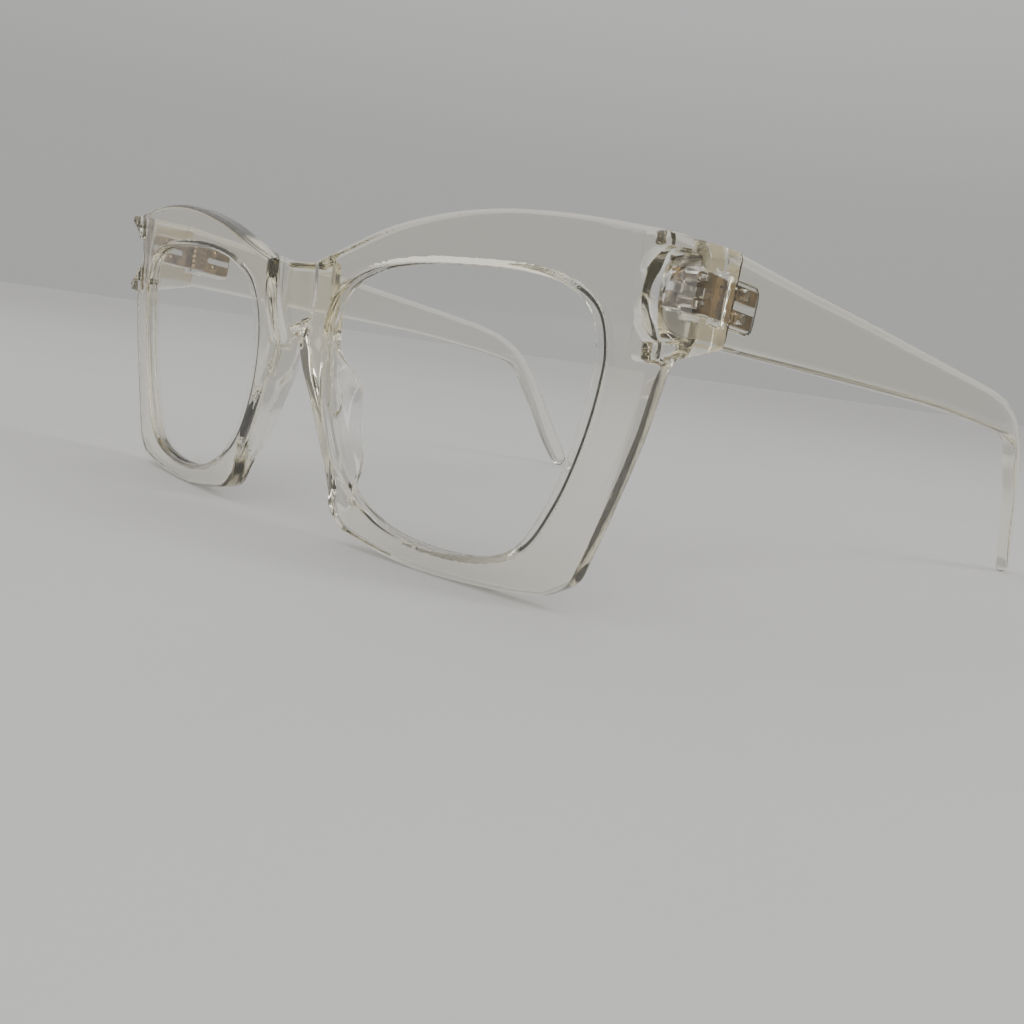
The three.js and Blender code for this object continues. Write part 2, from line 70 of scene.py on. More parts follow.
PAD_ROOT = 2.0              # the nose pads start here, inside the front
PAD_START = 3.0             # depth of a pad's back at its two ends, still inside the front
PAD_BACK = 9.2              # and where it is deepest
PAD_FLARE = 3.4             # how far a pad's back edge stands further out than its front edge
PAD_FLARE_START = 2.4
PAD_FLARE_SHORT = 1.0       # the flare's run is shorter than the whole depth by this
PAD_FLARE_SLOPE = 0.86      # turns a distance across the flare into one square to it
PAD_THICKNESS = 2.6
PAD_WIDENING = 0.5          # a pad is thicker at its root by this
PAD_WIDENING_START = 2.0
PAD_WIDENING_RUN = 4.0
PAD_FOOT_LOW = 5.0          # between these heights a pad runs out into the lower rim
PAD_FOOT = 8.0
PAD_FOOT_SHIFT = 1.2
PAD_SIDE_EDGE = 1.2
PAD_BACK_EDGE = 1.25
PAD_ROOT_EDGE = 0.3

LENS_THICKNESS = 1.4
LENS_BEVEL = 0.85           # reach of the lens's bevel into the rim's groove
LENS_REACH = 0.1            # reach of its flat faces past the opening's edge
LENS_EDGE = 0.1             # half thickness of the bevel's outer edge
BEVEL_SHORT = 0.15          # the bevel's run is shorter than its reach by this
GROOVE_DEPTH = 1.15
GROOVE_HALF_WIDTH = 0.95
GROOVE_EDGE = 0.1

END_X = 70.1
END_BACK_X = 69.8
SCOOP_RADIUS = 6.1
SCOOP_X = 70.9
SCOOP_HEIGHT = 41.7
SCOOP_INNER_Y = 9.9         # depth of the scoop's floor at its inner and outer sides
SCOOP_OUTER_Y = 12.1
SCOOP_LEAN = 0.08           # how much deeper the floor gets per height
SCOOP_FILLET = 1.2
SCOOP_EDGE = 0.9            # rounding where the scoop meets the front and the sides
POINTS_X = 68.6             # the front's thin points above and below the scoop are cut off here
POINTS_REACH = 7.3          # over this height above and below the scoop's middle
BLOCK_INNER = 64.9          # inner wall of the endpiece's thick part, behind the rim
BLOCK_FRONT = 6.0           # where the thick part starts, inside the front
BLOCK_TAPER_START = 10.6    # its outer side draws in between these depths
BLOCK_TAPER_END = 24.0
BLOCK_TOP_START = 4.0       # its top slopes down behind this depth
BLOCK_TOP_SLOPE = 0.058
BLOCK_BOTTOM = 33.8
BLOCK_BOTTOM_START = 8.0    # and its bottom rises behind this one, a little faster than in proportion
BLOCK_BOTTOM_RISE = 0.17
BLOCK_BOTTOM_POWER = 1.05
BLOCK_SIDE_EDGE = 0.6
BLOCK_EDGE = 0.9
BLOCK_FILLET = 0.35
JOINT_EDGE = 0.15           # rounding of the plastic about the joint

HINGE = (64.3, 19.5, 42.2)
TEMPLE_SLOPE = math.radians(7)
JOINT_GAP = 0.05
TEMPLE_HALF_HEIGHT = 6.2    # at the joint
TEMPLE_THICKNESS = 4.2      # at the joint, and at the end of the ear piece
TIP_THICKNESS = 2.6
TEMPLE_LENGTH = 131.2
TAPER_START = 40.0
TEMPLE_SPLAY = 0.02         # outward drift per length
EAR_START = 92.0            # where the ear piece starts to curve inwards
EAR_INSET = 4.8             # inward curve at the tip
TEMPLE_EDGE = 1.25
TEMPLE_AHEAD = 6.0          # the outline runs on this far past the hinge axis, and is cut at the joint

MILLED_DEPTH = 0.08         # the milled look is on the plastic this close to the endpiece's inner wall,
MILLED_MIDDLE = 15.6        # about this depth behind the bridge,
MILLED_REACH = 3.7          # this far before and behind it,
MILLED_HALF_HEIGHT = 5.2    # and this far above and below the hinge axis
MILLED_ROUGHNESS = 0.22
MILLED_COLOUR = (0.70, 0.57, 0.31)
BEDDING = 0.02              # the leaves are pressed this far into the plastic, so no air shows behind them
FRONT_POCKET_ROOM = 0.15    # between a leaf and the edge of its pocket
TEMPLE_POCKET_ROOM = 0.5
POCKET_CORNER = 1.4
POCKET_EDGE = 0.2
POCKET_PAST = 5.0           # the pockets run on this far past the hinge axis
KNUCKLE_ROOM = 0.4          # between the knuckles and the plastic
SCREW_ROOM = 0.8            # above and below the knuckles
RIVET_ROOM = 0.05

KNUCKLES = 5
KNUCKLE_RADIUS = 1.7
KNUCKLE_GAP = 0.1
KNUCKLE_ARM = 1.7           # length of the arm that joins a knuckle to its plate
HINGE_HEIGHT = 5.2
LEAF_FACE = 0.6             # inner faces of the leaves, outwards from the hinge axis
LEAF_THICKNESS = 1.3
LEAF_START = 1.2            # start of a leaf's flat plate, from the hinge axis
LEAF_CORNER = 0.55
LEAF_EDGE = 0.14
ARM_EDGE = 0.1
METAL_EDGE = 0.12           # rounding of the slot, the knuckles and the screw's shank
HOLE_EDGE = 0.06
HEAD_EDGE = 0.1
RIM_EDGE = 0.06             # rounding of the screw head's underside
SLOT_EDGE = 0.05
FRONT_LEAF_LENGTH = 7.6
TEMPLE_LEAF_LENGTH = 7.7
PRONG_SLOT = 1.1            # slot between the two prongs of a leaf
PRONG_SLOT_START = 2.6
RIVET_HEIGHT = (HINGE_HEIGHT + PRONG_SLOT) / 4
FRONT_RIVET = 5.6           # rivets' distance from the hinge axis
TEMPLE_RIVET = 4.0
RIVET_RADIUS = 0.65
RIVET_GAP = 0.04            # between a rivet and its hole in the leaf
RIVET_DEPTH = 2.1           # from the leaf's outer face into the plastic
RIVET_HEAD_RADIUS = 0.95
RIVET_HEAD_HEIGHT = 0.35
RIVET_DOME = 1.1            # radius that gives the head its domed face
RIVET_HEAD_EDGE = 0.08
RIVET_RIM_EDGE = 0.05
RIVET_END_EDGE = 0.2
RIVET_NECK = 0.05           # how far the shank reaches into the head
HEAD_GAP = 0.02             # between a head and the metal that it sits on
SCREW_RADIUS = 0.65
SCREW_GAP = 0.06            # between the screw and the knuckles
SCREW_HEAD_RADIUS = 1.15
SCREW_HEAD_HEIGHT = 0.5
SCREW_DOME = 1.6
SCREW_SLOT = 0.35
SCREW_SLOT_FLOOR = 0.45     # share of the head's height below the slot
SCREW_FOOT = 0.2            # how far the shank stands out of the lowest knuckle
SCREW_NECK = 0.1            # and how far it reaches into the head

# ---- Outlines, as in the model ------------------------------------------------------------------------

OPENING = [
    (10.0, 28.5), (10.9, 34.2), (13.6, 38.5), (19, 41.3), (27, 42.9), (38, 43.4), (49, 43.0), (55, 41.6),
    (58.4, 39.0), (59.8, 34.5), (59.6, 29.9), (58.1, 22.1), (55.2, 13.7), (51.2, 7.2), (46.1, 4.7),
    (35.2, 3.6), (24.5, 5.3), (16.1, 10.7), (11.3, 20.0),
]
BROW = [
    (5.5, 42.2), (8.0, 42.9), (13.7, 44.9), (23.3, 48.1), (34.7, 50.3), (45, 51.0), (55.5, 50.6),
    (66, 49.5),
]
END = [(68.3, 49.2), (69.2, 48.6), (69.8, 47.7), (END_X, 46.6), (END_X, 36.6), (69.7, 35.5)]
END_TOP = 49.3
SIDE = [(69.2, 34.6), (68.3, 33.0), (66.3, 24.2), (63.2, 13.7), (61.1, 7.4)]
CORNER = [(61.1, 7.4), (59.7, 4.0), (56.2, 1.6)]
CHIN = [
    (56.2, 1.6), (50, 0.7), (41, 0.1), (31.6, 0.05), (22.8, 1.1), (16.9, 2.5), (14.2, 5.0), (13.6, 7.8),
]
NOSE_SIDE = [(13.6, 7.8), (11.7, 12.1), (7.3, 20.9), (4.8, 25.3), (3.5, 28.6), (2.6, 31.2), (0, 32.4)]
RECESS_SIDE = [(6.4, 46), (6.4, 42.2), (6.6, 38.5), (6.1, 34.7), (4.9, 31.6), (3.4, 28.9)]
PAD_SECTIONS = [            # height on a nose pad, and the share of its full depth and flare there
    (4.6, 0), (6, 0.15), (8, 0.35), (11, 0.6), (15, 0.84), (19, 0.97), (22.5, 1), (25.5, 0.9),
    (28.4, 0.62), (31, 0.25), (33, 0),
]
TEMPLE_TOP = [
    (16, 5.5), (38, 4.8), (60, 3.9), (80, 3.1), (90, 2.5), (98.3, 1.2), (106, -1.8), (112.6, -7.0),
    (119.2, -14.6), (125.7, -22.6), (TEMPLE_LENGTH - 0.8, -28.6),
]
TEMPLE_TIP = [(TEMPLE_LENGTH, -30.4), (TEMPLE_LENGTH - 1.1, -32.2), (TEMPLE_LENGTH - 3.0, -32.0)]
TEMPLE_BOTTOM = [
    (121.6, -25.4), (115.4, -17.4), (109.6, -10.8), (106.6, -7.6), (102.8, -5.6), (94, -4.6), (80, -4.2),
    (66, -4.1), (43, -4.7), (19, -5.5),
]

# ---- Places -------------------------------------------------------------------------------------------

joints = {joint["name"]: joint for joint in frame["joints"]}
left_fold = joints["temple_left_fold"]
STANDING_TILT = TEMPLE_SLOPE - math.atan2(left_fold["axis"][1], left_fold["axis"][2])
to_stand = Matrix.Rotation(STANDING_TILT, 4, "X")
to_stand.translation = Vector(left_fold["pos_m"]) - to_stand.to_3x3() @ (Vector(HINGE) * MM)
to_world = to_stand @ Matrix.Diagonal((MM, MM, MM, 1))


def about_hinge(x, y, z):
    """Turns upright places into places about the left hinge axis."""
    sin, cos = math.sin(TEMPLE_SLOPE), math.cos(TEMPLE_SLOPE)
    back, up = y - HINGE[1], z - HINGE[2]
    return x - HINGE[0], back * cos - up * sin, back * sin + up * cos


def from_hinge(points):
    """The reverse, for an array of points."""
    sin, cos = math.sin(TEMPLE_SLOPE), math.cos(TEMPLE_SLOPE)
    out, along, up = points.T
    back = HINGE[1] + along * cos + up * sin
    height = HINGE[2] - along * sin + up * cos
    return np.stack([HINGE[0] + out, back, height], 1)


# ---- Curves and distances -----------------------------------------------------------------------------

CURVE_STEPS = 16
OUTLINE_PITCH = 0.25


def curve(points, closed=False):
    """A centripetal Catmull-Rom curve through the points, the same as the model's."""
    p = np.array(points, float)
    if closed:
        p = np.vstack([p[-1], p, p[0], p[1]])
    else:
        p = np.vstack([2 * p[0] - p[1], p, 2 * p[-1] - p[-2]])
    gaps = np.sqrt(np.linalg.norm(np.diff(p, axis=0), axis=1))[:, None]
    t = np.linspace(0, 1, CURVE_STEPS, endpoint=False)[:, None]
    dense = []
    for i in range(1, len(p) - 2):
        before, here, after = gaps[i - 1], gaps[i], gaps[i + 1]
        rise = p[i + 1] - p[i]
        start = ((p[i] - p[i - 1]) / before - (p[i + 1] - p[i - 1]) / (before + here)) * here + rise
        end = rise - ((p[i + 2] - p[i]) / (here + after) - (p[i + 2] - p[i + 1]) / after) * here
        square, cube = 3 * rise - 2 * start - end, start + end - 2 * rise
        dense.append(p[i] + start * t + square * t**2 + cube * t**3)
    if not closed:
        dense.append(p[-2:-1])
    return np.vstack(dense)


def polygon_distance(outline, x, y):
    """Distance to a closed outline, negative inside."""
    nearest = np.full(np.broadcast(x, y).shape, 1e9)
    inside = np.zeros(nearest.shape, bool)
    for (ax, ay), (bx, by) in zip(outline, np.roll(outline, -1, 0)):
        ex, ey = bx - ax, by - ay
        if ex == 0 and ey == 0:
            continue
        wx, wy = x - ax, y - ay
        t = np.clip((wx * ex + wy * ey) / (ex * ex + ey * ey), 0, 1)
        nearest = np.minimum(nearest, (wx - ex * t) ** 2 + (wy - ey * t) ** 2)
        if ey != 0:
            inside ^= ((ay > y) != (by > y)) & (x < ex * (y - ay) / ey + ax)
    return np.where(inside, -1, 1) * np.sqrt(nearest)


class Outline:
    """The distance to a curved outline, kept on a fine flat grid and read off smoothly."""

    def __init__(self, outline, low, high):
        self.low = np.array(low, float)
        count = np.ceil((np.array(high) - self.low) / OUTLINE_PITCH).astype(int) + 1
        xs, ys = (self.low[i] + OUTLINE_PITCH * np.arange(count[i]) for i in (0, 1))
        self.grid = polygon_distance(np.array(outline), xs[:, None], ys[None, :])

    @staticmethod
    def weights(t):
        return (
            ((-t + 2) * t - 1) * t / 2,
            ((3 * t - 5) * t * t + 2) / 2,
            ((-3 * t + 4) * t + 1) * t / 2,
            (t - 1) * t * t / 2,
        )

    def __call__(self, x, y):
        u = np.clip((x - self.low[0]) / OUTLINE_PITCH, 1, self.grid.shape[0] - 2.001)
        v = np.clip((y - self.low[1]) / OUTLINE_PITCH, 1, self.grid.shape[1] - 2.001)
        i, j = np.floor(u).astype(int), np.floor(v).astype(int)
        across, up = self.weights(u - i), self.weights(v - j)
        total = 0
        for a in range(4):
            row = sum(up[b] * self.grid[i + a - 1, j + b - 1] for b in range(4))
            total = total + across[a] * row
        return total


def both(a, b, radius=0.0):
    """Where both shapes are, with that rounding along the edge between them."""
    if radius == 0:
        return np.maximum(a, b)
    corner = np.hypot(np.maximum(a + radius, 0), np.maximum(b + radius, 0))
    return np.minimum(np.maximum(a, b), -radius) + corner


def either(a, b, radius=0.0):
    """Where either shape is, with a fillet of that radius between them."""
    return -both(-a, -b, radius)


def without(a, b, radius=0.0):
    return both(a, -b, radius)


def ramp(t):
    t = np.clip(t, 0, 1)
    return t * t * (3 - 2 * t)


# ---- Meshing a distance field -------------------------------------------------------------------------

CORNERS = np.array([(i, j, k) for i in (0, 1) for j in (0, 1) for k in (0, 1)])
EDGES = [
    (a, b) for a in range(8) for b in range(a + 1, 8) if np.abs(CORNERS[a] - CORNERS[b]).sum() == 1
]
NORMAL_REACH = 0.03         # half step over which a field's slope is measured
MESH_ROUNDS = 3
EVENING = 0.6               # share of the way that a corner moves to the middle of its neighbours
LEAST_STEEPNESS = 0.3       # of a field's slope, squared; keeps the moves small at sharp edges


def gradient(field, points, reach):
    slope = np.empty_like(points)
    for axis in range(3):
        step = np.zeros(3)
        step[axis] = reach
        slope[:, axis] = (field(*(points + step).T) - field(*(points - step).T)) / (2 * reach)
    return slope


def net(field, low, high, pitch):
    """A net of four-sided faces where the field is zero, with one corner in each crossed grid cell."""
    low = np.array(low, float)
    axes = [np.arange(low[i], high[i] + pitch, pitch) for i in range(3)]
    grid = field(axes[0][:, None, None], axes[1][None, :, None], axes[2][None, None, :])
    grid = np.broadcast_to(grid, [len(axis) for axis in axes]).astype(np.float32)
    inside = grid < 0
    shape = [n - 1 for n in grid.shape]
    filled = sum(
        inside[i:i + shape[0], j:j + shape[1], k:k + shape[2]].astype(np.int8) for i, j, k in CORNERS
    )
    cells = np.argwhere((filled > 0) & (filled < 8))
    number = np.full(shape, -1)
    number[tuple(cells.T)] = np.arange(len(cells))
    values = np.stack([grid[tuple((cells + corner).T)] for corner in CORNERS], 1)
    total, hits = np.zeros((len(cells), 3)), np.zeros(len(cells))
    for a, b in EDGES:
        crossed = (values[:, a] < 0) != (values[:, b] < 0)
        share = np.where(crossed, values[:, a] / np.where(crossed, values[:, a] - values[:, b], 1), 0)
        total += crossed[:, None] * (CORNERS[a] + share[:, None] * (CORNERS[b] - CORNERS[a]))
        hits += crossed
    points = low + pitch * (cells + total / hits[:, None])
    faces = []
    for axis in range(3):
        u, v = (axis + 1) % 3, (axis + 2) % 3
        near, far = [slice(1, -1)] * 3, [slice(1, -1)] * 3
        near[axis], far[axis] = slice(0, -1), slice(1, None)
        first, second = inside[tuple(near)], inside[tuple(far)]
        edge = np.argwhere(first != second)
        outward = first[tuple(edge.T)]
        edge[:, u] += 1
        edge[:, v] += 1
        ring = []
        for back_u, back_v in ((1, 1), (0, 1), (0, 0), (1, 0)):
            cell = edge.copy()
            cell[:, u] -= back_u
            cell[:, v] -= back_v
            ring.append(number[tuple(cell.T)])
        quads = np.stack(ring, 1)
        quads[~outward] = quads[~outward, ::-1]
        faces.append(quads)
    return points, np.vstack(faces)


def fitted(field, low, high, pitch):
    """The net, evened out and moved onto the exact surface, with the surface's own normals."""
    points, faces = net(field, low, high, pitch)
    ends = np.vstack([faces[:, [i, (i + 1) % 4]] for i in range(4)])
    first, second = ends.T
    size = len(points)
    count = np.bincount(first, minlength=size) + np.bincount(second, minlength=size)
    for step in range(MESH_ROUNDS):
        if step < MESH_ROUNDS - 1:
            middle = np.stack([
                np.bincount(first, points[second, axis], size)
                + np.bincount(second, points[first, axis], size) for axis in range(3)
            ], 1) / count[:, None]
            points = points + (middle - points) * EVENING
        for _ in range(2):
            slope = gradient(field, points, NORMAL_REACH)
            steepness = np.maximum((slope**2).sum(1), LEAST_STEEPNESS)
            move = np.clip(field(*points.T) / steepness, -pitch, pitch)
            points = points - move[:, None] * slope
    slope = gradient(field, points, NORMAL_REACH)
    return points, faces, slope / np.linalg.norm(slope, axis=1)[:, None]


# ---- The front ----------------------------------------------------------------------------------------

def front_outline():
    half = np.vstack([
        curve(BROW), END, curve(SIDE), curve(CORNER)[1:], curve(CHIN)[1:], curve(NOSE_SIDE)[1:],
    ])
    other = half[::-1][1:] * (-1, 1)
    return np.vstack([half, other])


def depth_behind_front(x, y):
    return FRONT_RADIUS - np.hypot(x, FRONT_RADIUS - y)


HALF_FRONT = ((-2.0, -2.0), (76.0, 54.0))      # low and high corners of the outlines' grids
ABOUT_RECESS = ((-2.0, 20.0), (20.0, 54.0))
ABOUT_TEMPLE = ((-4.0, -36.0), (136.0, 10.0))

nose_edge = curve(NOSE_SIDE)
opening_curve = curve(OPENING, closed=True)
front_distance = Outline(front_outline(), *HALF_FRONT)
opening_distance = Outline(opening_curve, *HALF_FRONT)
recess_curve = curve(RECESS_SIDE)
recess_distance = Outline(np.vstack([recess_curve, recess_curve[::-1] * (-1, 1)]), *ABOUT_RECESS)
pad_curve = curve(PAD_SECTIONS)


def pad_field(x, y, z):
    """A moulded nose pad, which flares backwards and outwards from the nose side of the rim."""
    share = np.interp(z, pad_curve[:, 0], pad_curve[:, 1], left=0.0, right=0.0)
    back = PAD_START + (PAD_BACK - PAD_START) * share
    foot = 1 - ramp((z - PAD_FOOT_LOW) / (PAD_FOOT - PAD_FOOT_LOW))
    edge = np.interp(z, nose_edge[:, 1], nose_edge[:, 0]) + PAD_FOOT_SHIFT * foot
    out = ramp((y - PAD_FLARE_START) / (PAD_BACK - PAD_FLARE_SHORT)) * PAD_FLARE * share
    widening = PAD_WIDENING * (1 - ramp((y - PAD_WIDENING_START) / PAD_WIDENING_RUN))
    inner = (edge + out - x) * PAD_FLARE_SLOPE
    outer = (x - edge - out - PAD_THICKNESS - widening) * PAD_FLARE_SLOPE
    pad = both(both(inner, outer, PAD_SIDE_EDGE), y - back, PAD_BACK_EDGE)
    return both(pad, PAD_ROOT - y, PAD_ROOT_EDGE)


def block_field(x, y, z):
    """The endpiece behind the rim, which carries the hinge and meets the temple."""
    _, along, _ = about_hinge(x, y, z)
    taper = ramp((y - BLOCK_TAPER_START) / (BLOCK_TAPER_END - BLOCK_TAPER_START))
    side = END_X + (END_BACK_X - END_X) * taper
    plan = both(both(x - side, BLOCK_INNER - x, BLOCK_SIDE_EDGE), BLOCK_FRONT - y)
    top = z - (END_TOP - BLOCK_TOP_SLOPE * (y - BLOCK_TOP_START))
    rise = BLOCK_BOTTOM_RISE * np.maximum(y - BLOCK_BOTTOM_START, 0) ** BLOCK_BOTTOM_POWER
    body = both(plan, both(top, (BLOCK_BOTTOM + rise) - z), BLOCK_EDGE)
    return both(body, along + JOINT_GAP / 2, JOINT_EDGE)


def scoop_field(x, y, z):
    """The round recess in the front of the endpiece, and the cut that takes off the points beside it."""
    reach = np.hypot(x - SCOOP_X, z - SCOOP_HEIGHT) - SCOOP_RADIUS
    inner_x = SCOOP_X - SCOOP_RADIUS
    slope = (SCOOP_OUTER_Y - SCOOP_INNER_Y) / (END_X - inner_x)
    scoop_floor = SCOOP_INNER_Y + slope * (x - inner_x) + SCOOP_LEAN * (z - SCOOP_HEIGHT)
    points = np.maximum(POINTS_X - x, np.abs(z - SCOOP_HEIGHT) - POINTS_REACH)
    return both(np.minimum(reach, points), (y - scoop_floor) / math.hypot(1, slope), SCOOP_FILLET)


def hinge_hollow(out, along, up, leaf_from, leaf_to, room):
    """Room in the plastic for the leaf and the knuckles, open towards the inside."""
    ends = np.maximum(leaf_from - room - along, along - leaf_to - room)
    pocket = both(np.abs(up) - HINGE_HEIGHT / 2 - room, ends, POCKET_CORNER)
    pocket = both(pocket, out - LEAF_FACE - LEAF_THICKNESS + BEDDING, POCKET_EDGE)
    barrel = np.hypot(out, along) - KNUCKLE_RADIUS - KNUCKLE_ROOM
    return np.minimum(pocket, both(barrel, np.abs(up) - HINGE_HEIGHT / 2 - SCREW_ROOM))


def rivet_hollow(out, along, up, place):
    hole = np.hypot(along - place, np.abs(up) - RIVET_HEIGHT) - RIVET_RADIUS - RIVET_ROOM
    return both(hole, out - LEAF_FACE - LEAF_THICKNESS - RIVET_DEPTH - RIVET_ROOM)


def front_field(x, y, z):
    x = np.abs(x)
    outline, opening = front_distance(x, z), opening_distance(x, z)
    depth = depth_behind_front(x, y)
    solid = both(both(outline, -depth, FRONT_EDGE), depth - FRONT_THICKNESS, BACK_EDGE)
    plan = np.maximum(x - BRIDGE_HALF_WIDTH, outline + BRIDGE_SET_IN)
    bridge = both(plan, y - BRIDGE_BACK, BRIDGE_EDGE)
    solid = either(solid, both(bridge, BRIDGE_ROOT - y), ROOT_FILLET)
    solid = either(solid, block_field(x, y, z), BLOCK_FILLET)
    solid = either(solid, pad_field(x, y, z), ROOT_FILLET)
    solid = both(solid, outline)
    recess = both(recess_distance(x, z), y - BRIDGE_RECESS, RECESS_FILLET)
    solid = without(solid, recess, RECESS_EDGE)
    solid = without(solid, scoop_field(x, y, z), SCOOP_EDGE)
    solid = without(solid, opening, OPENING_EDGE)
    across = np.abs(depth - FRONT_THICKNESS / 2)
    slope = GROOVE_HALF_WIDTH / GROOVE_DEPTH
    groove = (across + opening * slope - GROOVE_HALF_WIDTH) / math.hypot(1, slope)
    solid = without(solid, groove, GROOVE_EDGE)
    out, along, up = about_hinge(x, y, z)
    hollow = hinge_hollow(out, along, up, -FRONT_LEAF_LENGTH, POCKET_PAST, FRONT_POCKET_ROOM)
    hollow = np.minimum(hollow, rivet_hollow(out, along, up, -FRONT_RIVET))
    return without(solid, hollow)


# ---- Temples, about the left hinge axis ---------------------------------------------------------------

def temple_outline():
    top, bottom = TEMPLE_TOP[0], TEMPLE_BOTTOM[-1]
    growth_top = TEMPLE_AHEAD * (TEMPLE_HALF_HEIGHT - top[1]) / top[0]
    growth_bottom = TEMPLE_AHEAD * (TEMPLE_HALF_HEIGHT + bottom[1]) / bottom[0]
    ahead_top = (-TEMPLE_AHEAD, TEMPLE_HALF_HEIGHT + growth_top)
    ahead_bottom = (-TEMPLE_AHEAD, -TEMPLE_HALF_HEIGHT - growth_bottom)
    return np.vstack([[ahead_top], curve(TEMPLE_TOP + TEMPLE_TIP + TEMPLE_BOTTOM), [ahead_bottom]])


temple_distance = Outline(temple_outline(), *ABOUT_TEMPLE)


def temple_field(out, along, up):
    past = np.maximum(along - EAR_START, 0) / (TEMPLE_LENGTH - EAR_START)
    outer = END_BACK_X - HINGE[0] + TEMPLE_SPLAY * along - EAR_INSET * past**2
    taper = ramp((along - TAPER_START) / (TEMPLE_LENGTH - TAPER_START))
    thickness = TEMPLE_THICKNESS + (TIP_THICKNESS - TEMPLE_THICKNESS) * taper
    lean = np.sqrt(1 + (2 * EAR_INSET * past / (TEMPLE_LENGTH - EAR_START)) ** 2)
    wall = np.maximum(out - outer, outer - thickness - out) / lean
    solid = both(temple_distance(along, up), wall, TEMPLE_EDGE)
    solid = both(solid, JOINT_GAP / 2 - along, JOINT_EDGE)
    hollow = hinge_hollow(out, along, up, -POCKET_PAST, TEMPLE_LEAF_LENGTH, TEMPLE_POCKET_ROOM)
    hollow = np.minimum(hollow, rivet_hollow(out, along, up, TEMPLE_RIVET))
    return without(solid, hollow)


# ---- Hinge metal, about the left hinge axis -----------------------------------------------------------

def leaf_field(direction, length, rivet_place):
    """One half of the hinge: every second knuckle, and a plate with two prongs.

    Direction is -1 for the front's half, which runs forwards, and 1 for the temple's.
    """
    pitch = HINGE_HEIGHT / KNUCKLES

    def field(out, along, up):
        ahead = along * direction
        half = HINGE_HEIGHT / 2
        plan = both(np.abs(up) - half, ahead - length, LEAF_CORNER)
        slot = both(np.abs(up) - PRONG_SLOT / 2, PRONG_SLOT_START - ahead, PRONG_SLOT / 2)
        plan = np.maximum(without(plan, slot, METAL_EDGE), LEAF_START - ahead)
        slab = np.abs(out - LEAF_FACE - LEAF_THICKNESS / 2) - LEAF_THICKNESS / 2
        solid = both(plan, slab, LEAF_EDGE)
        barrel = np.hypot(out, ahead) - KNUCKLE_RADIUS
        arm_sides = np.maximum(-out, out - LEAF_FACE - LEAF_THICKNESS)
        arm = both(np.maximum(-ahead, ahead - KNUCKLE_ARM), arm_sides, ARM_EDGE)
        for i in range(KNUCKLES):
            middle = (i + 0.5) * pitch - half
            level = np.abs(up - middle) - pitch / 2
            if (i % 2 == 0) == (direction < 0):
                knuckle = both(np.minimum(barrel, arm), level + KNUCKLE_GAP / 2, METAL_EDGE)
                solid = np.minimum(solid, knuckle)
            else:
                solid = without(solid, np.maximum(barrel - KNUCKLE_GAP, level - KNUCKLE_GAP / 2))
        solid = without(solid, np.hypot(out, ahead) - SCREW_RADIUS - SCREW_GAP)
        hole = np.hypot(ahead - rivet_place, np.abs(up) - RIVET_HEIGHT) - RIVET_RADIUS - RIVET_GAP
        return without(solid, hole, HOLE_EDGE)

    return field


def screw_field(out, along, up):
    half = HINGE_HEIGHT / 2
    reach = np.hypot(out, along)
    dome = np.hypot(reach, up - half + SCREW_DOME) - SCREW_DOME - SCREW_HEAD_HEIGHT
    head = both(both(reach - SCREW_HEAD_RADIUS, dome, HEAD_EDGE), half + HEAD_GAP - up, RIM_EDGE)
    slot_floor = half + SCREW_HEAD_HEIGHT * SCREW_SLOT_FLOOR
    head = without(head, np.maximum(np.abs(along) - SCREW_SLOT / 2, slot_floor - up), SLOT_EDGE)
    ends = np.maximum(-half - SCREW_FOOT - up, up - half - SCREW_NECK)
    return np.minimum(head, both(reach - SCREW_RADIUS, ends, METAL_EDGE))


def rivet_field(place, height):
    def field(out, along, up):
        reach = np.hypot(along - place, up - height)
        ends = np.maximum(LEAF_FACE - RIVET_NECK - out, out - LEAF_FACE - LEAF_THICKNESS - RIVET_DEPTH)
        shank = both(reach - RIVET_RADIUS, ends, RIVET_END_EDGE)
        inner = LEAF_FACE - HEAD_GAP
        dome = np.hypot(reach, out - inner - RIVET_DOME) - RIVET_DOME - RIVET_HEAD_HEIGHT
        head = both(both(reach - RIVET_HEAD_RADIUS, dome, RIVET_HEAD_EDGE), out - inner, RIVET_RIM_EDGE)
        return np.minimum(head, shank)

    return field


# ---- Materials ----------------------------------------------------------------------------------------

def nodes_of(name):
    material = bpy.data.materials.new(name)
    material.use_nodes = True
    tree = material.node_tree
    return material, tree, tree.nodes["Principled BSDF"]


NOISE_LOW = 0.3             # the noise texture stays mostly between these values
NOISE_HIGH = 0.7


def noise(tree, scale, detail=3.0, low=0.0, high=1.0):
    """A noise over the object's own places, in mm, mapped to low..high."""
    places = tree.nodes.new("ShaderNodeTexCoord")
    texture = tree.nodes.new("ShaderNodeTexNoise")
    texture.inputs["Scale"].default_value = 1 / (scale * MM)
    texture.inputs["Detail"].default_value = detail
    tree.links.new(places.outputs["Object"], texture.inputs["Vector"])
    spread = tree.nodes.new("ShaderNodeMapRange")
    spread.inputs["From Min"].default_value = NOISE_LOW
    spread.inputs["From Max"].default_value = NOISE_HIGH
    spread.inputs["To Min"].default_value = low
    spread.inputs["To Max"].default_value = high
    tree.links.new(texture.outputs["Fac"], spread.inputs["Value"])
    return spread.outputs["Result"]


def bump(tree, height, distance):
    node = tree.nodes.new("ShaderNodeBump")
    node.inputs["Distance"].default_value = distance * MM
    node.inputs["Strength"].default_value = 1.0
    tree.links.new(height, node.inputs["Height"])
    return node.outputs["Normal"]


